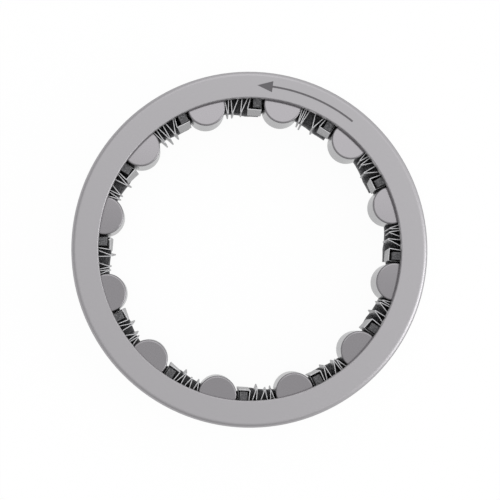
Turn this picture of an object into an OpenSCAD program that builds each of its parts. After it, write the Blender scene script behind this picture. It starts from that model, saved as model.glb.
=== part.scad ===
// One-way roller clutch insert for a starter drive, in millimetres.
// The axis is +Z, the rear face lies at z = 0 and the front face is up.
// Seen from the front, each pitch runs clockwise as roller, folded strip spring, cage post.

/* [Outer ring] */
// Outside diameter, a press fit in its housing
outer_d = 60; // [55:0.5:66]
// Thickness of the wall at the cylindrical lands between the ramps
wall_t = 2.2; // [1.8:0.1:3]
// Thickness of the front lip
front_lip_t = 1.3; // [1:0.1:2.5]
// Distance by which the front lip stands in from the lands
front_lip_reach = 2.3; // [1.8:0.1:3]
// Thickness of the rolled rear lip
rear_lip_t = 1; // [0.8:0.1:2]
// Distance by which the rear lip stands in from the lands
rear_lip_reach = 1.9; // [1.2:0.1:2.6]
// Radius of the front outer edge
front_edge_r = 0.5; // [0.2:0.1:1.2]
// Radius of the rolled rear outer edge
rear_edge_r = 1.1; // [0.3:0.1:1.5]
// Break on the edges of both lip bores
lip_break = 0.25; // [0.05:0.05:0.4]

/* [Rollers] */
// Number of rollers
roller_n = 12; // [10:1:12]
// Roller diameter
roller_d = 6.5; // [6:0.1:7]
// Roller length
roller_l = 7; // [5:0.5:14]
// Radius of the roller's end edges
roller_edge_r = 0.3; // [0.1:0.05:0.6]

/* [Ramps] */
// Distance by which a resting roller reaches out past the lands into its ramp
ramp_depth = 0.65; // [0.5:0.05:0.8]
// Angle between the ramp and a circle about the axis, at the resting roller
wedge_angle = 7.5; // [6:0.25:8.5]
// Travel of a roller along its ramp, as an angle about the ramp's own centre
travel_angle = 4.5; // [3:0.25:5]
// Gap between a roller and its ramp
ramp_clearance = 0.03; // [0.02:0.01:0.08]
// Spare travel before a roller meets the end of its pocket
stop_angle = 0.5; // [0.2:0.1:1]

/* [Cage] */
// Thickness of the closed ring at the back of the cage
cage_ring_t = 1.45; // [1:0.05:3]
// Height of the cage ring from its bore out to the lands, at the posts' feet
cage_ring_h = 4.1; // [3.7:0.1:4.6]
// Depth of the hollow in the cage ring's bore behind each roller
cage_hollow = 0.8; // [0.3:0.05:1]
// Distance by which a post's foot in the cage ring runs ahead of the post
foot_lead = 1; // [0.4:0.1:2]
// Chamfer on both edges of the cage ring's bore
cage_ring_chamfer = 0.2; // [0.1:0.05:0.4]
// Gap between the cage ring and the outer ring
cage_clearance = 0.1; // [0.03:0.01:0.2]
// Width of a post at the roller circle
post_w = 1.3; // [0.9:0.05:1.5]
// Height of a post, from its back to its face towards the axis
post_h = 3.5; // [3:0.1:3.8]
// Gap between the backs of the posts and the lands
post_clearance = 0.2; // [0.05:0.05:0.5]
// Chamfer on a post's front edge, towards the axis
post_chamfer = 0.25; // [0.1:0.05:0.4]

/* [Springs] */
// Thickness of the spring strip
strip_t = 0.18; // [0.1:0.01:0.22]
// Distance by which the strip's edges stand in from the ends of its roller
strip_margin = 0.4; // [0.1:0.05:0.8]
// Number of inner folds
fold_n = 3; // [2:1:3]
// Inside radius of the folds and of the clip's bends
bend_r = 0.04; // [0.02:0.01:0.08]
// Distance by which the inner folds stand in from the faces of the posts
fold_reach = 0.65; // [0.4:0.05:1]
// Gap between the outer folds and the lands
fold_clearance = 0.4; // [0.2:0.05:0.8]
// Gap between the clip and its post, at the near leg and across the post's face
clip_clearance = 0.03; // [0.01:0.01:0.1]
// Gap between the clip's far leg and its post
far_leg_clearance = 0.09; // [0.03:0.01:0.2]
// Distance by which the clip's near leg leans out from the post towards the axis
clip_lean = 0.6; // [0.2:0.05:0.8]
// Distance by which the clip's free corner stands in towards the axis
clip_drop = 0.2; // [0:0.05:0.3]
// Width of the clip's far leg, along the axis
clip_tab_w = 3.6; // [2:0.1:6]
// Gap between the spring and its roller at rest
spring_clearance = 0.03; // [0.01:0.01:0.1]
// Gap between a resting roller and the clip behind it
roller_gap = 0.25; // [0.1:0.05:0.4]

/* [Play] */
// End play of the rollers, at each end
roller_play = 0.1; // [0.05:0.01:0.3]
// End play of the cage against the rear lip
cage_play = 0.05; // [0.02:0.01:0.2]

/* [Hidden] */
function numbered(name, k) = str(name, k < 9 ? "_0" : "_", k + 1);
$fn = 96;
bend_steps = 8;
over = 1;

// Stations along the axis
cage_z = rear_lip_t + cage_play;
cage_top_z = cage_z + cage_ring_t;
roller_z = cage_top_z + roller_play;
roller_top_z = roller_z + roller_l;
front_lip_z = roller_top_z + roller_play;
ring_w = front_lip_z + front_lip_t;
strip_z = roller_z + strip_margin;

// Radii out from the axis
land_r = outer_d / 2 - wall_t;
front_lip_r = land_r - front_lip_reach;
rear_lip_r = land_r - rear_lip_reach;
cage_bore_r = land_r - cage_ring_h;
post_back_r = land_r - post_clearance;
post_face_r = post_back_r - post_h;
pitch_r = land_r + ramp_depth - roller_d / 2;

// A ramp is an arc whose centre lies beside the ring's axis by ramp_offset
pitch_angle = 360 / roller_n;
ramp_offset = pitch_r * tan(wedge_angle);
path_r = pitch_r / cos(wedge_angle);
ramp_r = path_r + roller_d / 2 + ramp_clearance;
ramp_end_angle = travel_angle + stop_angle - wedge_angle;
ramp_end = [ramp_offset, 0] + path_r * [sin(ramp_end_angle), cos(ramp_end_angle)];
ramp_end_touch = ramp_end + (ramp_r - path_r) * (ramp_end - [ramp_offset, 0]) / path_r;

// Width of the strip, and the bends' radius to its middle line
strip_w = roller_l - 2 * strip_margin;
fold_r = bend_r + strip_t / 2;

// Stations clockwise round the roller circle from a roller's centre, as arc lengths
pitch_arc = pitch_r * pitch_angle * PI / 180;
roller_side = pitch_r * asin(roller_d / 2 / pitch_r) * PI / 180;
far_leg = pitch_arc - roller_side - roller_gap - strip_t / 2;
post_far = far_leg - strip_t / 2 - far_leg_clearance;
post_near = post_far - post_w;
grip_leg = post_near - clip_clearance - strip_t / 2;
first_leg = roller_side + spring_clearance + strip_t / 2;
leg_pitch = (grip_leg - clip_lean / 2 - first_leg) / (2 * fold_n);
first_lean = leg_pitch / 4;

// A hollow of the cage ring's bore runs out at the near end of one post's foot, and the far end
// of the foot before it cuts it short. Its centre lies hollow_offset out from the axis.
foot_near = post_near - foot_lead;
foot_far = post_far + far_leg_clearance;
hollow_offset = cage_hollow * (cage_bore_r + cage_hollow / 2)
    / (cage_bore_r * (1 - cos(arc_angle(foot_near))) + cage_hollow);
hollow_r = cage_bore_r + cage_hollow - hollow_offset;

// Radii of the bends' centres, and of the ends of the strip
inner_bend_r = post_face_r - fold_reach + strip_t / 2 + fold_r;
outer_bend_r = land_r - fold_clearance - strip_t / 2 - fold_r;
clip_bend_r = post_face_r - clip_clearance - strip_t / 2 + fold_r;
strip_end_r = outer_bend_r - fold_r;

// The frame of one pitch, with its roller on +Y and clockwise towards +X
module pitch_place(k) {
    rotate(-k * pitch_angle) children();
}

// A point at an arc length u along the roller circle and a distance r from the axis
function arc_angle(u) = u / pitch_r * 180 / PI;
function polar(u, r) = r * [sin(arc_angle(u)), cos(arc_angle(u))];

// The strip is wound round pins. A pin is [u, r, bend], and its bend is the radius of the turn,
// above zero where the strip turns left, below zero where it turns right, zero at a free end.
spring_pins = [
    for (i = [0 : 2 * fold_n - 2])
        let (u = first_leg + (i + 0.5) * leg_pitch)
            i % 2 == 0 ? [u, inner_bend_r, fold_r] : [u, outer_bend_r, -fold_r]
];
clip_pins = [
    [grip_leg - fold_r, outer_bend_r, -fold_r],
    [grip_leg - clip_lean + fold_r, clip_bend_r, fold_r],
    [far_leg - fold_r, clip_bend_r - clip_drop, fold_r]
];
strip_pins = concat(
    [[first_leg - first_lean, strip_end_r, 0]],
    spring_pins,
    clip_pins,
    [[far_leg, strip_end_r, 0]]
);

// Direction of the straight run from one pin to the next
function run_angle(from, to) =
    let (step = [to.x - from.x, to.y - from.y])
        atan2(step.y, step.x) - asin((to.z - from.z) / norm(step));

// Where a strip that heads along an angle touches a pin
function touch(pin, angle) = [pin.x + pin.z * sin(angle), pin.y - pin.z * cos(angle)];

// The turn from one heading to another, to the left or to the right as the bend says
function turned(from, to, bend) =
    let (turn = (to - from) % 360)
        bend > 0 ? (turn < 0 ? turn + 360 : turn) : (turn > 0 ? turn - 360 : turn);

// Points of the strip's middle line round one pin
function bend_points(pins, i) =
    i == 0 ? [touch(pins[0], 0)]
    : i == len(pins) - 1 ? [touch(pins[i], 0)]
    : let (
        heading = run_angle(pins[i - 1], pins[i]),
        turn = turned(heading, run_angle(pins[i], pins[i + 1]), pins[i].z)
    )
        [for (step = [0 : bend_steps]) touch(pins[i], heading + turn * step / bend_steps)];

function wound(pins) = [for (i = [0 : len(pins) - 1]) each bend_points(pins, i)];

// One side of a strip whose centreline runs through the points
function strip_side(points, side) = [
    for (i = [0 : len(points) - 1])
        let (
            before = points[max(i - 1, 0)],
            after = points[min(i + 1, len(points) - 1)],
            along = (after - before) / norm(after - before)
        )
            points[i] + side * [-along.y, along.x]
];

function reversed(points) = [for (i = [len(points) - 1 : -1 : 0]) points[i]];

module strip(points) {
    polygon(concat(strip_side(points, strip_t / 2), reversed(strip_side(points, -strip_t / 2))));
}

// The sector between two clockwise angles from +Y, reaching past the ring
module sector(from_angle, to_angle) {
    reach = outer_d;
    polygon([[0, 0], reach * [sin(from_angle), cos(from_angle)], reach * [sin(to_angle), cos(to_angle)]]);
}

// One ramp and the rounded end of its pocket, drawn back from the ring by gap
module ramp_pocket(gap) {
    intersection() {
        translate([ramp_offset, 0]) circle(ramp_r - gap);
        sector(-pitch_angle / 2, atan2(ramp_end_touch.x, ramp_end_touch.y));
    }
    translate(ramp_end) circle(ramp_r - path_r - gap);
}

// Cross-section of the space inside the ring, behind the front lip
module ring_space(gap) {
    circle(land_r - gap);
    for (k = [0 : roller_n - 1]) pitch_place(k) ramp_pocket(gap);
}

// Half section of the ring as a plain cup with both lips, before the ramps are cut
module ring_section() {
    inner_r = min(front_lip_r, rear_lip_r);
    difference() {
        translate([inner_r, 0]) square([outer_d / 2 - inner_r, ring_w]);
        translate([outer_d / 2 - front_edge_r, ring_w - front_edge_r]) edge_waste(front_edge_r, 1);
        translate([outer_d / 2 - rear_edge_r, rear_edge_r]) edge_waste(rear_edge_r, -1);
        translate([0, -over]) square([rear_lip_r, over + rear_lip_t]);
        translate([0, front_lip_z]) square([front_lip_r, front_lip_t + over]);
        translate([front_lip_r, ring_w]) rotate(45) square(lip_break * sqrt(2), center = true);
        translate([rear_lip_r, 0]) rotate(45) square(lip_break * sqrt(2), center = true);
    }
}

// What rounding takes off an outer edge, up or down
module edge_waste(radius, up) {
    mirror([0, up > 0 ? 0 : 1]) difference() {
        square(radius + over);
        circle(radius);
    }
}

module outer_ring() {
    color([0.68, 0.67, 0.68]) difference() {
        rotate_extrude($fn = 180) ring_section();
        translate([0, 0, rear_lip_t]) linear_extrude(front_lip_z - rear_lip_t) ring_space(0, $fn = 180);
    }
}

// One post, standing on the cage ring with its front edges chamfered
module cage_post() {
    root = cage_ring_t / 2;
    height = roller_top_z - cage_top_z + root;
    translate([0, 0, cage_top_z - root])
        rotate(90 - arc_angle(post_far))
            rotate_extrude(angle = arc_angle(post_w))
                polygon([
                    [post_face_r, 0],
                    [post_back_r, 0],
                    [post_back_r, height],
                    [post_face_r + post_chamfer, height],
                    [post_face_r, height - post_chamfer]
                ]);
}

// A bore through the cage ring, wider at both ends
module cage_bore(bore_r) {
    wide_r = bore_r + cage_ring_chamfer + over;
    rotate_extrude()
        polygon([
            [0, cage_z - over],
            [wide_r, cage_z - over],
            [bore_r, cage_z + cage_ring_chamfer],
            [bore_r, cage_top_z - cage_ring_chamfer],
            [wide_r, cage_top_z + over],
            [0, cage_top_z + over]
        ]);
}

// The hollow of the cage ring's bore behind one roller, between two feet
module cage_hollow_waste() {
    intersection() {
        translate([0, hollow_offset]) cage_bore(hollow_r);
        linear_extrude(cage_top_z + over)
            sector(arc_angle(foot_far - pitch_arc), arc_angle(post_near));
    }
}

module cage() {
    color([0.16, 0.16, 0.17]) {
        difference() {
            translate([0, 0, cage_z]) linear_extrude(cage_ring_t) ring_space(cage_clearance, $fn = 180);
            cage_bore(cage_bore_r, $fn = 180);
            for (k = [0 : roller_n - 1]) pitch_place(k) cage_hollow_waste();
        }
        for (k = [0 : roller_n - 1]) pitch_place(k) cage_post();
    }
}

module roller(k) {
    color([0.74, 0.74, 0.75])
        pitch_place(k) translate([0, pitch_r, roller_z])
            rotate_extrude() difference() {
                square([roller_d / 2, roller_l]);
                edge_r = roller_d / 2 - roller_edge_r;
                translate([edge_r, roller_l - roller_edge_r]) edge_waste(roller_edge_r, 1);
                translate([edge_r, roller_edge_r]) edge_waste(roller_edge_r, -1);
            }
}

// The strip's folds and clip as a flat outline
module spring_outline() {
    strip([for (point = wound(strip_pins)) polar(point.x, point.y)]);
}

// What narrows the clip's far leg to a tab in the middle of the strip
module tab_waste() {
    waste_h = (strip_w - clip_tab_w) / 2;
    for (z = [-over, strip_w - waste_h])
        translate([0, 0, z])
            linear_extrude(waste_h + over)
                intersection() {
                    sector(arc_angle(far_leg - strip_t), arc_angle(far_leg + strip_t + roller_gap));
                    difference() {
                        circle(outer_d / 2);
                        circle(post_face_r);
                    }
                }
}

module spring(k) {
    color([0.62, 0.61, 0.60])
        pitch_place(k) translate([0, 0, strip_z]) difference() {
            linear_extrude(strip_w) spring_outline();
            tab_waste();
        }
}

outer_ring();
cage();
for (k = [0 : roller_n - 1]) {
    roller(k);
    spring(k);
}
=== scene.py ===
import bpy
import math
from mathutils import Matrix, Vector


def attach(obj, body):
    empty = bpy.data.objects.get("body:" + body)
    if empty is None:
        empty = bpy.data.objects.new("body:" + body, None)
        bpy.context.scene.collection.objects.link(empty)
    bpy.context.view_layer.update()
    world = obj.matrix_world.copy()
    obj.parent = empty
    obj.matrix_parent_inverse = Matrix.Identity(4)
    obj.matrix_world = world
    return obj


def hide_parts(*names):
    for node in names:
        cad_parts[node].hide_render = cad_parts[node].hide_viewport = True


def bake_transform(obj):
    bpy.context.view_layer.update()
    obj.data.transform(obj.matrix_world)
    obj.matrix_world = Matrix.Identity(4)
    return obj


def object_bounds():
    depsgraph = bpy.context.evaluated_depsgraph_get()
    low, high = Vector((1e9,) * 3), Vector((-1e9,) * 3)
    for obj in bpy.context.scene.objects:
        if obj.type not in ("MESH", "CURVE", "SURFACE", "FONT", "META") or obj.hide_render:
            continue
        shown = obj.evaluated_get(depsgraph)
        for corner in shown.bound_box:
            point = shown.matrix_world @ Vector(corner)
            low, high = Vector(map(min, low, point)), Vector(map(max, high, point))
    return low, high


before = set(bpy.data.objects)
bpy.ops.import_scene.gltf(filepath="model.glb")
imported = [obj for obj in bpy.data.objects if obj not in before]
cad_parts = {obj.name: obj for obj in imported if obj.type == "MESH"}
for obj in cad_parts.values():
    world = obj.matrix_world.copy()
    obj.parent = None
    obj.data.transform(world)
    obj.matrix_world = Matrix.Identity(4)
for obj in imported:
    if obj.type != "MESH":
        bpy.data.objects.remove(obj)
cadLow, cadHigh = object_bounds()
mm = 0.001
print("frame loaded:", len(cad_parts), "nodes")


# sRGB hex to the linear colour that a shader socket takes
def hexColour(code):
    channels = [int(code[i:i + 2], 16) / 255 for i in (1, 3, 5)]
    return [c / 12.92 if c <= 0.04045 else ((c + 0.055) / 1.055) ** 2.4 for c in channels] + [1.0]


# adds a node, sets its attributes and its inputs; a linked input is written as (node, output)
def addNode(tree, kind, inputs=None, **attributes):
    made = tree.nodes.new(kind)
    for name, value in attributes.items():
        setattr(made, name, value)
    for name, value in (inputs or {}).items():
        if isinstance(value, tuple) and hasattr(value[0], "outputs"):
            tree.links.new(value[0].outputs[value[1]], made.inputs[name])
        else:
            made.inputs[name].default_value = value
    return made


def newMaterial(name):
    made = bpy.data.materials.new(name)
    made.use_nodes = True
    made.node_tree.nodes.clear()
    return made, made.node_tree


# the photograph's view: the camera stands a little off the ring's axis and looks at its front face
view = {
    "faceHeight": cadHigh.z,
    "distance": 231 * mm,      # height over the front face
    "sideStep": 18.4 * mm,     # how far the camera's foot is from the axis
    "stepAngle": 238.3,        # degrees, direction of that foot from +X
    "aim": (-0.07 * mm, -0.32 * mm),
    "roll": 12.7,              # degrees clockwise from the image's top to roller_01
    "focal": 99.5,             # mm, for the sensor below
    "sensor": 36,
    "nearest": 10 * mm,        # nothing nearer to the camera is drawn
}


def addCamera():
    bpy.ops.object.camera_add()
    camera = bpy.context.object
    camera.name = "photoCamera"
    angle = math.radians(view["stepAngle"])
    foot = Vector((math.cos(angle), math.sin(angle), 0)) * view["sideStep"]
    place = foot + Vector((0, 0, view["faceHeight"] + view["distance"]))
    target = Vector((*view["aim"], view["faceHeight"]))
    back = (place - target).normalized()
    roll = math.radians(view["roll"])
    up = Vector((-math.sin(roll), math.cos(roll), 0))
    right = up.cross(back).normalized()
    up = back.cross(right)
    turned = Matrix((right, up, back)).transposed().to_4x4()
    camera.matrix_world = Matrix.Translation(place) @ turned
    camera.data.lens = view["focal"]
    camera.data.sensor_width = view["sensor"]
    camera.data.clip_start = view["nearest"]
    bpy.context.scene.camera = camera


addCamera()
bpy.context.scene.view_settings.view_transform = "Standard"
print("camera placed")


# stage: pale floor that looks white to the camera and to mirrors, but keeps a faint shadow
stage = {
    "floorSize": 6.0,          # metres
    "floorDrop": 0.01 * mm,    # how far the floor lies under the part
    "floorWhite": "#F2F2F2",
    "shadowShare": 0.05,       # share of what the camera sees that is the lit floor
}


def addFloor():
    bpy.ops.mesh.primitive_plane_add(size=stage["floorSize"], location=(0, 0, cadLow.z - stage["floorDrop"]))
    floor = bpy.context.object
    floor.name = "floor"
    material, tree = newMaterial("paleFloor")
    path = addNode(tree, "ShaderNodeLightPath")
    paint = addNode(tree, "ShaderNodeBsdfDiffuse", {"Color": hexColour(stage["floorWhite"])})
    glow = addNode(tree, "ShaderNodeEmission", {"Color": (1, 1, 1, 1), "Strength": 1.0})
    seen = addNode(tree, "ShaderNodeMath",
                   {0: (path, "Is Camera Ray"), 1: 1 - stage["shadowShare"]}, operation="MULTIPLY")
    mirrored = addNode(tree, "ShaderNodeMath",
                       {0: (path, "Is Glossy Ray"), 1: (path, "Is Transmission Ray")}, operation="MAXIMUM")
    share = addNode(tree, "ShaderNodeMath", {0: (seen, 0), 1: (mirrored, 0)}, operation="MAXIMUM")
    both = addNode(tree, "ShaderNodeMixShader", {0: (share, 0), 1: (paint, 0), 2: (glow, 0)})
    addNode(tree, "ShaderNodeOutputMaterial", {"Surface": (both, 0)})
    floor.data.materials.append(material)


# studio: a grey ceiling with a white panel across its half towards +Y, and pale walls. Each edge is a
# pair of values between which one light turns into the next
studio = {
    "ceiling": 0.5,
    "ceilingEdge": (0.78, 0.95),     # Z of a direction, from the walls to the ceiling
    "panel": 0.95,
    "panelEdge": (0.085, 0.105),     # Y of a direction, from the ceiling to the panel
    "wall": 0.86,
    "wallEdge": (0.35, 0.95),        # how squarely a direction meets one of the three walls
    "walls": ((100, 0.3), (190, -0.4), (290, -0.3)),    # degrees clockwise from the picture's top, change
}


def addWorld():
    world = bpy.data.worlds.new("studio")
    bpy.context.scene.world = world
    world.use_nodes = True
    tree = world.node_tree
    tree.nodes.clear()
    where = addNode(tree, "ShaderNodeTexCoord")
    apart = addNode(tree, "ShaderNodeSeparateXYZ", {0: (where, "Generated")})
    ceiling = addNode(tree, "ShaderNodeMapRange",
                      {"Value": (apart, "Y"),
                       "From Min": studio["panelEdge"][0], "From Max": studio["panelEdge"][1],
                       "To Min": studio["ceiling"], "To Max": studio["panel"]})
    wall = addNode(tree, "ShaderNodeMath", {0: studio["wall"], 1: 0.0})
    for clock, change in studio["walls"]:
        angle = math.radians(clock - view["roll"])
        squarely = addNode(tree, "ShaderNodeVectorMath",
                           {0: (where, "Generated"), 1: (math.sin(angle), math.cos(angle), 0)},
                           operation="DOT_PRODUCT")
        changed = addNode(tree, "ShaderNodeMapRange",
                          {"Value": (squarely, "Value"), "To Max": change,
                           "From Min": studio["wallEdge"][0], "From Max": studio["wallEdge"][1]})
        wall = addNode(tree, "ShaderNodeMath", {0: (wall, 0), 1: (changed, 0)})
    overhead = addNode(tree, "ShaderNodeMapRange",
                       {"Value": (apart, "Z"),
                        "From Min": studio["ceilingEdge"][0], "From Max": studio["ceilingEdge"][1]})
    grey = addNode(tree, "ShaderNodeMix",
                   {0: (overhead, 0), 2: (wall, 0), 3: (ceiling, 0)}, data_type="FLOAT")
    lit = addNode(tree, "ShaderNodeBackground", {"Color": (1, 1, 1, 1), "Strength": (grey, 0)})
    white = addNode(tree, "ShaderNodeBackground", {"Color": (1, 1, 1, 1), "Strength": 1.0})
    path = addNode(tree, "ShaderNodeLightPath")
    both = addNode(tree, "ShaderNodeMixShader", {0: (path, "Is Camera Ray"), 1: (lit, 0), 2: (white, 0)})
    addNode(tree, "ShaderNodeOutputWorld", {"Surface": (both, 0)})


# lamps, in metres and watts; the fill lamp lights the gaps between the rollers, and no steel mirrors it
lamps = [
    {"name": "keyPanel", "place": (0.6, -0.02, 0.26), "size": 0.4, "power": 1.0, "mirrored": True},
    {"name": "backPanel", "place": (-0.12, 0.6, 0.55), "size": 0.5, "power": 0.4, "mirrored": True},
    {"name": "fillPanel", "place": (-0.02, -0.03, 0.3), "size": 0.08, "power": 0.24, "mirrored": False},
]


def addLamp(settings):
    bpy.ops.object.light_add(type="AREA", location=settings["place"])
    lamp = bpy.context.object
    lamp.name = settings["name"]
    lamp.data.shape = "SQUARE"
    lamp.data.size = settings["size"]
    lamp.data.energy = settings["power"]
    lamp.visible_glossy = settings["mirrored"]
    lamp.rotation_euler = Vector(settings["place"]).to_track_quat("Z", "Y").to_euler()


addFloor()
addWorld()
for settings in lamps:
    addLamp(settings)
print("stage lit")


# outer ring: hardened bearing steel, tumbled after heat treatment; a very even satin grey, with its rounded
# edges painted darker as painted shade
ringSteel = {
    "colour": "#BFBDBF",
    "dark": "#B9B7B9",
    "endColour": "#C4C2C5",
    "edgeColour": "#B3B1B4",
    "grain": 0.25,
    "stretch": (1, 1, 1),
    "sides": 0.46,
    "ends": 0.5,
    "edges": 0.4,
    "bump": 0.1,
    "glance": "#C0C0C0",
    "bare": 1.0,
}
# rollers: hardened bearing steel; the round side is ground and honed, the flat ends are lapped and mirror
# more, and the rounds between them stay as they were turned and dull, and are painted darker: a painted
# shade line
rollerSteel = {
    "colour": "#BEBEC0",
    "dark": "#B8B8BA",
    "endColour": "#BDBABE",
    "edgeColour": "#969497",
    "grain": 0.2,
    "stretch": (1, 1, 0.25),
    "sides": 0.2,
    "ends": 0.13,
    "edges": 0.35,
    "bump": 0.04,
    "glance": "#D8D8D8",
    "bare": 1.0,
}
# springs: cold-rolled stainless strip, with the rolling grain along it; its broad faces are painted darker
# than the steel as painted shade, and its slit edges are bright cut steel painted brighter still, a painted
# highlight
stripSteel = {
    "colour": "#9A9A9C",
    "dark": "#88888A",
    "endColour": "#DEDEE0",
    "edgeColour": "#B0B0B2",
    "grain": 0.12,
    "stretch": (0.25, 0.25, 1),
    "sides": 0.27,
    "ends": 0.45,
    "edges": 0.4,
    "bump": 0.1,
    "glance": "#DCDCDC",
    "bare": 0.82,
}
# all three steels: the part of the grain's noise that shows, its height, and how squarely a face looks
# along the axis where its rounds and its ends begin. Real grain is a few hundredths of a millimetre wide,
# and it is drawn several times as coarse, so that it shows
steelDrawing = {
    "detail": 3.0,
    "noise": 0.6,
    "shown": (0.35, 0.65),
    "height": 0.01 * mm,
    "rounds": (0.12, 0.3),
    "flats": (0.93, 0.995),
}
# cage: glass-filled polyamide, moulded matt, with pale fibre flecks at its surface; a fibre is 0.01 mm
# thick, and the flecks are drawn as the bundles in which fibres come to the surface
cagePlastic = {
    "colour": "#424244",
    "fleck": "#7C7C7E",
    "fibre": 0.22,
    "detail": 4.0,
    "noise": 0.7,
    "shown": (0.45, 0.7),
    "roughness": 0.6,
    "bump": 0.3,
    "height": 0.03 * mm,
}


# steel with a grain of a width in mm; "ends" are faces that look along the axis, "sides" look away from
# it and "edges" are the rounds between them, each with its colour and roughness; "glance" is how much of
# a mirror's light the steel keeps at a grazing angle, and "bare" is the share that no film of phosphate
# and oil covers
def steelMaterial(name, settings):
    drawing = steelDrawing
    material, tree = newMaterial(name)
    where = addNode(tree, "ShaderNodeTexCoord")
    stretched = addNode(tree, "ShaderNodeMapping",
                        {"Vector": (where, "Object"), "Scale": settings["stretch"]})
    grain = addNode(tree, "ShaderNodeTexNoise",
                    {"Vector": (stretched, 0), "Scale": 1 / (settings["grain"] * mm),
                     "Detail": drawing["detail"], "Roughness": drawing["noise"]})
    fade = addNode(tree, "ShaderNodeMapRange",
                   {"Value": (grain, "Fac"),
                    "From Min": drawing["shown"][0], "From Max": drawing["shown"][1]})
    tint = addNode(tree, "ShaderNodeMix",
                   {0: (fade, 0), 6: hexColour(settings["dark"]), 7: hexColour(settings["colour"])},
                   data_type="RGBA")
    facing = addNode(tree, "ShaderNodeSeparateXYZ", {0: (where, "Normal")})
    upright = addNode(tree, "ShaderNodeMath", {0: (facing, "Z")}, operation="ABSOLUTE")
    tilted = addNode(tree, "ShaderNodeMapRange",
                     {"Value": (upright, 0),
                      "From Min": drawing["rounds"][0], "From Max": drawing["rounds"][1]})
    flat = addNode(tree, "ShaderNodeMapRange",
                   {"Value": (upright, 0),
                    "From Min": drawing["flats"][0], "From Max": drawing["flats"][1]})
    colour = addNode(tree, "ShaderNodeMix",
                     {0: (tilted, 0), 6: (tint, 2), 7: hexColour(settings["edgeColour"])}, data_type="RGBA")
    colour = addNode(tree, "ShaderNodeMix",
                     {0: (flat, 0), 6: (colour, 2), 7: hexColour(settings["endColour"])}, data_type="RGBA")
    rough = addNode(tree, "ShaderNodeMapRange",
                    {"Value": (tilted, 0), "To Min": settings["sides"], "To Max": settings["edges"]})
    rough = addNode(tree, "ShaderNodeMix",
                    {0: (flat, 0), 2: (rough, 0), 3: settings["ends"]}, data_type="FLOAT")
    bump = addNode(tree, "ShaderNodeBump",
                   {"Height": (grain, "Fac"), "Strength": settings["bump"], "Distance": drawing["height"]})
    skin = addNode(tree, "ShaderNodeBsdfPrincipled",
                   {"Base Color": (colour, 2), "Metallic": settings["bare"], "Roughness": (rough, 0),
                    "Normal": (bump, 0), "Specular Tint": hexColour(settings["glance"])})
    addNode(tree, "ShaderNodeOutputMaterial", {"Surface": (skin, 0)})
    return material


def plasticMaterial(name, settings):
    material, tree = newMaterial(name)
    where = addNode(tree, "ShaderNodeTexCoord")
    fibre = addNode(tree, "ShaderNodeTexNoise",
                    {"Vector": (where, "Object"), "Scale": 1 / (settings["fibre"] * mm),
                     "Detail": settings["detail"], "Roughness": settings["noise"]})
    fleck = addNode(tree, "ShaderNodeMapRange",
                    {"Value": (fibre, "Fac"),
                     "From Min": settings["shown"][0], "From Max": settings["shown"][1]})
    tint = addNode(tree, "ShaderNodeMix",
                   {0: (fleck, 0), 6: hexColour(settings["colour"]), 7: hexColour(settings["fleck"])},
                   data_type="RGBA")
    bump = addNode(tree, "ShaderNodeBump",
                   {"Height": (fibre, "Fac"), "Strength": settings["bump"], "Distance": settings["height"]})
    skin = addNode(tree, "ShaderNodeBsdfPrincipled",
                   {"Base Color": (tint, 2), "Roughness": settings["roughness"], "Normal": (bump, 0)})
    addNode(tree, "ShaderNodeOutputMaterial", {"Surface": (skin, 0)})
    return material


def dress(node, material):
    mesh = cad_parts[node].data
    mesh.materials.clear()
    mesh.materials.append(material)


tumbledSteel = steelMaterial("tumbledSteel", ringSteel)
groundSteel = steelMaterial("groundSteel", rollerSteel)
springStrip = steelMaterial("springStrip", stripSteel)
glassFilledNylon = plasticMaterial("glassFilledNylon", cagePlastic)
rollerNames = sorted(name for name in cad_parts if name.startswith("roller"))
springNames = sorted(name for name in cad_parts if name.startswith("spring"))
dress("cage", glassFilledNylon)
for name in rollerNames:
    dress(name, groundSteel)
print("cage and rollers dressed")


def deselectAll():
    for thing in bpy.context.selected_objects:
        thing.select_set(False)


def applyAll(piece):
    bpy.ops.object.mode_set(mode="OBJECT")
    for modifier in list(piece.modifiers):
        bpy.ops.object.modifier_apply(modifier=modifier.name)


# rounds look smooth, and the broad faces beside them stay flat; corners sharper than this stay corners
sharpCorner = math.radians(35)


def smoothRounds(piece):
    bpy.ops.object.shade_smooth_by_angle(angle=sharpCorner)
    facing = piece.modifiers.new("facing", "WEIGHTED_NORMAL")
    facing.keep_sharp = True
    applyAll(piece)


# selects the vertices that pass a test, in edit mode
def selectVertices(piece, passes):
    bpy.ops.mesh.select_all(action="DESELECT")
    bpy.ops.object.mode_set(mode="OBJECT")
    for vertex in piece.data.vertices:
        vertex.select = passes(vertex)
    bpy.ops.object.mode_set(mode="EDIT")


# adds a chain of edges through the points, and leaves its last point selected in edit mode
def addChain(name, points):
    deselectAll()
    bpy.ops.mesh.primitive_plane_add(size=1 * mm)
    piece = bpy.context.object
    piece.name = name
    bpy.ops.object.mode_set(mode="EDIT")
    bpy.ops.mesh.merge(type="CENTER")
    bpy.ops.transform.translate(value=points[0])
    for here, there in zip(points, points[1:]):
        bpy.ops.mesh.extrude_vertices_move(TRANSFORM_OT_translate={"value": there - here})
    return piece


# outer ring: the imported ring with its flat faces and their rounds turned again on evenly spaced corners.
# At the front the outer round is wider, as tumbling wears it, and the lip's is finer. Sizes in mm, and a
# round is (radius of its wall, its way across the face, packed size, turned size)
ring = {
    "faces": (
        {"height": cadHigh.z / mm, "inwards": -1, "rounds": ((30.0, -1, 0.5, 0.85), (25.5, 1, 0.25, 0.18))},
        {"height": cadLow.z / mm, "inwards": 1, "rounds": ((30.0, -1, 1.1, 1.1),)},
    ),
    "steps": 10,             # faces across a round
    "weld": 0.001,
    "nearly": 0.003,         # vertices this close to a wall or a height are on it
}


# selects the vertices that stand at a radius and a height, in mm, that pass a test
def selectWhere(piece, passes):
    selectVertices(piece, lambda vertex: passes(vertex.co.xy.length / mm, vertex.co.z / mm))


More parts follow.
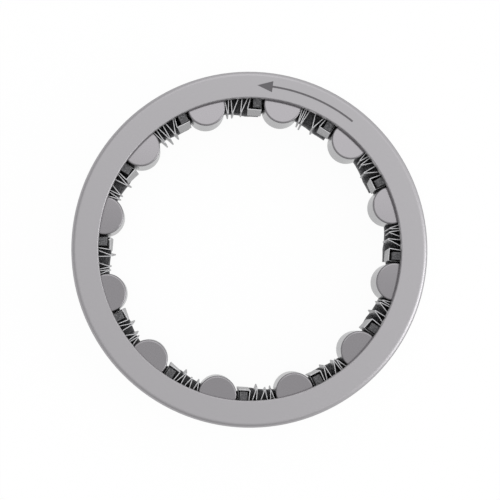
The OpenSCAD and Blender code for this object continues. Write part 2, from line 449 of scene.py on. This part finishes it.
def isNear(value, place):
    return abs(value - place) < ring["nearly"]


# takes a flat face away, with the rounds between it and the walls
def cutFace(piece, settings):
    face, near = settings["height"], ring["nearly"]
    for wall, across, packed, turned in settings["rounds"]:
        reach = packed + near
        selectWhere(piece, lambda radius, height: isNear(height, face)
                    or (abs(height - face) < reach and -near < (radius - wall) * across < reach))
        bpy.ops.mesh.delete(type="FACE")


# turns one round from the last row of vertices on its wall up to the face
def turnRound(piece, face, inwards, wall, across, packed, turned):
    last = face + inwards * packed
    selectWhere(piece, lambda radius, height: isNear(radius, wall) and isNear(height, last))
    bpy.ops.transform.translate(value=(0, 0, inwards * (turned - packed) * mm))
    fromRadius, fromHeight = wall, face + inwards * turned
    for step in range(1, ring["steps"] + 1):
        angle = math.pi / 2 * step / ring["steps"]
        toRadius = wall + across * turned * (1 - math.cos(angle))
        toHeight = face + inwards * turned * (1 - math.sin(angle))
        rise, stretch = (toHeight - fromHeight) * mm, toRadius / fromRadius
        bpy.ops.mesh.extrude_edges_move(TRANSFORM_OT_translate={"value": (0, 0, rise)})
        bpy.ops.transform.resize(value=(stretch, stretch, 1), center_override=(0, 0, 0))
        fromRadius, fromHeight = toRadius, toHeight


# closes the face again between the two open rows that are left
def bridgeFace():
    bpy.ops.mesh.select_non_manifold(extend=False, use_wire=False, use_multi_face=False,
                                     use_non_contiguous=False, use_verts=False)
    bpy.ops.mesh.bridge_edge_loops()


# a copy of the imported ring: a CAD mesh is loose triangles, so it is welded before its faces are turned
def makeRing():
    deselectAll()
    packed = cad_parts["outer_ring"]
    packed.select_set(True)
    bpy.context.view_layer.objects.active = packed
    bpy.ops.object.duplicate()
    piece = bpy.context.object
    piece.name = "turned_ring"
    for key in list(piece.keys()):    # the CAD node's own marks
        del piece[key]
    bpy.ops.mesh.customdata_custom_splitnormals_clear()
    bpy.ops.object.mode_set(mode="EDIT")
    bpy.ops.mesh.select_mode(type="VERT")
    bpy.ops.mesh.select_all(action="SELECT")
    bpy.ops.mesh.remove_doubles(threshold=ring["weld"] * mm)
    for settings in ring["faces"]:
        cutFace(piece, settings)
        for edge in settings["rounds"]:
            turnRound(piece, settings["height"], settings["inwards"], *edge)
        bridgeFace()
    bpy.ops.mesh.select_all(action="SELECT")
    bpy.ops.mesh.normals_make_consistent(inside=False)
    bpy.ops.object.mode_set(mode="OBJECT")
    smoothRounds(piece)
    return piece


piece = makeRing()
piece.data.materials.clear()
piece.data.materials.append(tumbledSteel)
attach(piece, "root")
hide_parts("outer_ring")
print("ring turned")


# drive arrow on the front lip, a plain sign in the place of the marking: it points the way in which the
# clutch drives; sizes in mm, angles in degrees clockwise from roller_01
arrow = {
    "circle": 27.6,          # radius of its middle line
    "line": 0.32,
    "tail": 26.0,
    "neck": -5.0,            # where the line ends and the head begins
    "steps": 32,
    "headLong": 2.6,
    "headWide": 1.9,
    "proud": 0.01,
    "thick": 0.03,
}
# laser-annealed oxide: a dark matt skin, drawn in close-set lines; they are drawn twice as wide as they are
oxide = {
    "colour": "#4C4A4D",
    "pale": "#676568",
    "line": 0.1,
    "waver": 0.6,
    "roughness": 0.55,
}
waveLine = math.pi / 10    # distance between the lines of a wave node of scale 1


def oxideMaterial(name, settings):
    material, tree = newMaterial(name)
    where = addNode(tree, "ShaderNodeTexCoord")
    lines = addNode(tree, "ShaderNodeTexWave",
                    {"Vector": (where, "Object"), "Scale": waveLine / (settings["line"] * mm),
                     "Distortion": settings["waver"]})
    tint = addNode(tree, "ShaderNodeMix",
                   {0: (lines, "Fac"), 6: hexColour(settings["colour"]), 7: hexColour(settings["pale"])},
                   data_type="RGBA")
    skin = addNode(tree, "ShaderNodeBsdfPrincipled",
                   {"Base Color": (tint, 2), "Roughness": settings["roughness"]})
    addNode(tree, "ShaderNodeOutputMaterial", {"Surface": (skin, 0)})
    return material


def onFace(clock, radius):
    angle, height = math.radians(clock), cadHigh.z / mm + arrow["proud"]
    return Vector((math.sin(angle) * radius, math.cos(angle) * radius, height)) * mm


# its outline is closed with one face and sunk into the lip, so that its top lies just above the steel
def makeArrow():
    half = arrow["line"] / 2
    sweep, steps = arrow["neck"] - arrow["tail"], arrow["steps"]
    turns = [arrow["tail"] + sweep * step / steps for step in range(steps + 1)]
    tip = arrow["neck"] - math.degrees(arrow["headLong"] / arrow["circle"])
    points = [onFace(clock, arrow["circle"] - half) for clock in turns]
    points.append(onFace(arrow["neck"], arrow["circle"] - arrow["headWide"] / 2))
    points.append(onFace(tip, arrow["circle"]))
    points.append(onFace(arrow["neck"], arrow["circle"] + arrow["headWide"] / 2))
    points += [onFace(clock, arrow["circle"] + half) for clock in reversed(turns)]
    piece = addChain("drive_arrow", points)
    bpy.ops.mesh.select_all(action="SELECT")
    bpy.ops.mesh.edge_face_add()
    bpy.ops.mesh.extrude_region_move(TRANSFORM_OT_translate={"value": (0, 0, -arrow["thick"] * mm)})
    bpy.ops.mesh.select_all(action="SELECT")
    bpy.ops.mesh.normals_make_consistent(inside=False)
    bpy.ops.object.mode_set(mode="OBJECT")
    return piece


piece = makeArrow()
piece.data.materials.append(oxideMaterial("laserOxide", oxide))
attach(piece, "root")
print("arrow drawn")


# folded strip springs, in mm: u is an arc length clockwise from the roller's centre, r a distance from
# the axis
spring = {
    "circle": 25.2,          # radius of the circle through the roller centres
    "thick": 0.14,
    "low": 3.0,              # z of the strip's rear and front edges
    "high": 9.2,
    "bend": 0.075,           # radius of a sharp bend, to the middle of the strip
    "bendSteps": 5,
    "lipCircle": 25.6,       # radius at which the mouths of the folds are given
    "outerCircle": 27.2,     # centres of the outer folds
    "endCircle": 26.9,
    "rollerSide": 3.4,       # u at which the first leg lies on the roller
    "firstLeg": 3.1,         # u of its outer end, at the least
    "grip": 7.99,            # u of the clip's near leg, at its outer end
    "clipFar": 9.6,          # u of the clip's far leg
    "tabWide": 3.6,          # width of the far leg, along the axis
    "shoulder": 0.25,        # length over which the strip narrows to it
    "edgeBreak": 0.03,
    "edgeSteps": 2,
    "edgeAngle": 50,         # degrees; only corners sharper than this are broken
}
# one spring to a roller, clockwise. "folds" are the three folds, clockwise from the roller: u and r of
# the inner tip, the u of its two legs at the lip, and how far its rear end is pushed along u and r.
# "clip" is the u and r of the clip's near corner and the drop of its plate to the far corner. "rear" is
# how far the rear ends of both corners are pushed along and inwards
springShapes = [
    {"folds": ((3.6, 23.2, 3.4, 3.8, 0.07, -0.06), (4.1, 23.05, 4.2, 4.6, 0.15, -0.2),
               (6.37, 23.2, 5.85, 6.8, 0.28, -0.2)),
     "clip": (7.42, 23.98, 0.0), "rear": ((0.15, 0.02), (0.25, 0.0))},
    {"folds": ((3.7, 24.0, 3.35, 4.0, 0.2, 0.3), (4.45, 23.7, 4.4, 5.25, 0.21, 0.5),
               (5.95, 23.3, 6.05, 6.85, 0.23, 0.1)),
     "clip": (7.42, 23.68, 0.05), "rear": ((0.38, -0.2), (0.2, -0.15))},
    {"folds": ((3.85, 24.0, 3.55, 4.1, 0.12, 0.0), (4.55, 23.8, 4.45, 5.4, 0.17, 0.3),
               (5.76, 23.45, 6.0, 6.75, 0.14, 0.07)),
     "clip": (7.45, 23.68, 0.1), "rear": ((0.12, -0.2), (0.0, -0.2))},
    {"folds": ((3.7, 24.05, 3.5, 4.0, -0.26, 0.1), (4.25, 23.75, 4.3, 5.2, -0.35, 0.0),
               (5.97, 23.58, 6.1, 6.85, -0.04, -0.35)),
     "clip": (7.5, 23.8, 0.35), "rear": ((0.2, 0.07), (0.0, 0.04))},
    {"folds": ((4.1, 23.8, 3.55, 4.3, -0.25, 0.1), (4.65, 23.6, 4.5, 5.6, -0.12, 0.0),
               (6.6, 23.2, 6.5, 7.35, 0.13, 0.0)),
     "clip": (7.62, 23.65, 0.02), "rear": ((0.2, -0.05), (0.25, 0.06))},
    {"folds": ((3.95, 24.1, 3.6, 4.2, -0.27, -0.55), (5.0, 23.85, 4.75, 5.8, -0.4, -0.2),
               (6.4, 23.4, 6.6, 7.2, -0.2, -0.4)),
     "clip": (7.65, 23.8, 0.0), "rear": ((0.0, 0.2), (0.1, 0.25))},
    {"folds": ((3.75, 24.0, 3.4, 4.1, -0.1, -0.34), (5.05, 23.8, 4.8, 5.65, -0.08, 0.0),
               (6.33, 23.45, 6.4, 7.05, 0.15, -0.4)),
     "clip": (7.42, 23.84, 0.15), "rear": ((0.0, 0.08), (0.1, 0.3))},
    {"folds": ((3.95, 23.95, 3.5, 4.3, 0.2, -0.2), (4.55, 23.85, 4.4, 5.45, 0.28, -0.4),
               (6.45, 23.3, 6.4, 7.1, 0.4, -0.35)),
     "clip": (7.5, 23.75, -0.05), "rear": ((0.15, 0.04), (0.15, 0.38))},
    {"folds": ((3.75, 24.0, 3.4, 3.95, 0.3, -0.1), (4.35, 23.8, 4.1, 5.15, 0.4, -0.1),
               (6.3, 23.25, 6.3, 7.0, 0.5, -0.4)),
     "clip": (7.42, 23.62, -0.04), "rear": ((0.1, 0.1), (0.1, 0.22))},
    {"folds": ((3.55, 23.75, 3.35, 4.0, 0.35, -0.1), (4.3, 23.75, 4.35, 5.2, 0.34, -0.16),
               (6.4, 23.35, 6.35, 7.0, 0.5, -0.39)),
     "clip": (7.2, 23.92, 0.3), "rear": ((0.0, 0.1), (0.15, 0.42))},
    {"folds": ((3.7, 22.9, 3.35, 3.9, 0.4, -0.15), (4.9, 22.95, 4.4, 5.2, 0.4, -0.4),
               (6.2, 23.15, 5.85, 6.75, 0.5, -0.38)),
     "clip": (7.15, 23.98, 0.05), "rear": ((0.5, 0.3), (0.25, 0.3))},
    {"folds": ((3.5, 23.3, 3.35, 3.9, 0.15, -0.05), (4.35, 23.25, 4.4, 5.55, 0.15, 0.0),
               (5.95, 23.28, 6.2, 6.85, 0.16, 0.09)),
     "clip": (7.15, 23.8, 0.1), "rear": ((0.3, 0.1), (0.25, 0.05))},
]


# the u at which a leg through its tip and its mouth reaches a circle
def legAt(tip, tipCircle, mouth, circle):
    return tip + (mouth - tip) * (circle - tipCircle) / (spring["lipCircle"] - tipCircle)


# the strip is wound round pins, each (u, r, bend): a bend above zero turns left, one below zero turns
# right, and zero is an end
def springPins(shape):
    bend, outer, end = spring["bend"], spring["outerCircle"], spring["endCircle"]
    folds = [settings[:4] for settings in shape["folds"]]
    clipNear, clipCircle, drop = shape["clip"]
    pins = [(max(legAt(*folds[0][:3], end), spring["firstLeg"]), end, 0)]
    for at, (tip, tipCircle, mouth, nextMouth) in enumerate(folds):
        pins.append((tip, tipCircle + spring["thick"] / 2 + bend, bend))
        if at + 1 < len(folds):
            leaves, arrives = legAt(tip, tipCircle, nextMouth, outer), legAt(*folds[at + 1][:3], outer)
            middle, half = (leaves + arrives) / 2, max((arrives - leaves) / 2, bend)
        else:
            middle, half = spring["grip"] - bend, bend
        pins.append((middle, outer - half + bend, -half))
    plate = clipCircle + bend
    pins.append((clipNear + bend, plate, bend))
    pins.append((spring["clipFar"] - bend, plate - drop, bend))
    pins.append((spring["clipFar"], end, 0))
    return pins


# direction of the straight run between two pins, which touches both
def runAngle(here, there):
    along, outwards = there[0] - here[0], there[1] - here[1]
    return math.atan2(outwards, along) - math.asin((there[2] - here[2]) / math.hypot(along, outwards))


# where a strip with this direction touches a pin
def touchPoint(pin, angle):
    u, r, bend = pin
    return u + bend * math.sin(angle), r - bend * math.cos(angle)


# middle line of the strip as (u, r, number of its pin), with a shoulder before the far leg's end
def windStrip(pins):
    points = [(*pins[0][:2], 0)]
    for at, (before, pin, after) in enumerate(zip(pins, pins[1:], pins[2:]), 1):
        heading = runAngle(before, pin)
        turn = (runAngle(pin, after) - heading) % math.tau
        if pin[2] < 0:
            turn -= math.tau
        for step in range(spring["bendSteps"] + 1):
            points.append((*touchPoint(pin, heading + turn * step / spring["bendSteps"]), at))
    last = len(pins) - 1
    points.append((pins[-1][0], points[-1][1] + spring["shoulder"], last))
    points.append((*pins[-1][:2], last))
    return points


# place on the pitch of a spring's number, from nought
def onPitch(u, r, number):
    angle = u / spring["circle"] + math.tau * number / len(springShapes)
    return Vector((math.sin(angle), math.cos(angle), 0)) * r * mm


# moves the vertices of one end of the strip that belong to a pin; extruding has left the vertices in the
# order of the path
def pushEnd(piece, owners, pin, end, step):
    middle = (spring["low"] + spring["high"]) / 2 * mm
    selectVertices(piece, lambda vertex: owners[vertex.index // 2] == pin
                   and (vertex.co.z > middle) == (end == "high"))
    bpy.ops.transform.translate(value=step)


# one spring: an edge as long as the strip is wide, extruded along the path, then pushed about at its ends
def makeStrip(number, shape):
    path = windStrip(springPins(shape))
    points = [onPitch(u, r, number) for u, r, pin in path]
    owners = [pin for u, r, pin in path]
    low, high = Vector((0, 0, spring["low"] * mm)), Vector((0, 0, spring["high"] * mm))
    piece = addChain(f"strip_spring_{number + 1:02d}", [points[0] + low, points[0] + high])
    bpy.ops.mesh.select_all(action="SELECT")
    for here, there in zip(points, points[1:]):
        bpy.ops.mesh.extrude_edges_move(TRANSFORM_OT_translate={"value": there - here})
    for at, (u, r, mouth, nextMouth, along, outwards) in enumerate(shape["folds"]):
        pushed = onPitch(u + along, r + outwards, number)
        pushEnd(piece, owners, 2 * at + 1, "low", pushed - onPitch(u, r, number))
    farLeg, corner = owners[-1], shape["clip"][1]
    for pin, (along, inwards) in zip((farLeg - 2, farLeg - 1), shape["rear"]):
        pushed = onPitch(spring["grip"] + along, corner - inwards, number)
        pushEnd(piece, owners, pin, "low", pushed - onPitch(spring["grip"], corner, number))
    narrow = (spring["high"] - spring["low"] - spring["tabWide"]) / 2 * mm
    pushEnd(piece, owners, farLeg, "low", (0, 0, narrow))
    pushEnd(piece, owners, farLeg, "high", (0, 0, -narrow))
    bpy.ops.object.mode_set(mode="OBJECT")
    return piece


# gives the strip its thickness and breaks its slit edges
def thicken(piece):
    solid = piece.modifiers.new("strip", "SOLIDIFY")
    solid.thickness = spring["thick"] * mm
    solid.offset = 0
    bevel = piece.modifiers.new("edges", "BEVEL")
    bevel.width = spring["edgeBreak"] * mm
    bevel.segments = spring["edgeSteps"]
    bevel.limit_method = "ANGLE"
    bevel.angle_limit = math.radians(spring["edgeAngle"])
    applyAll(piece)
    smoothRounds(piece)


for number, (name, shape) in enumerate(zip(springNames, springShapes)):
    piece = makeStrip(number, shape)
    thicken(piece)
    piece.data.materials.append(springStrip)
    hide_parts(name)
    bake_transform(piece)
print("springs folded")
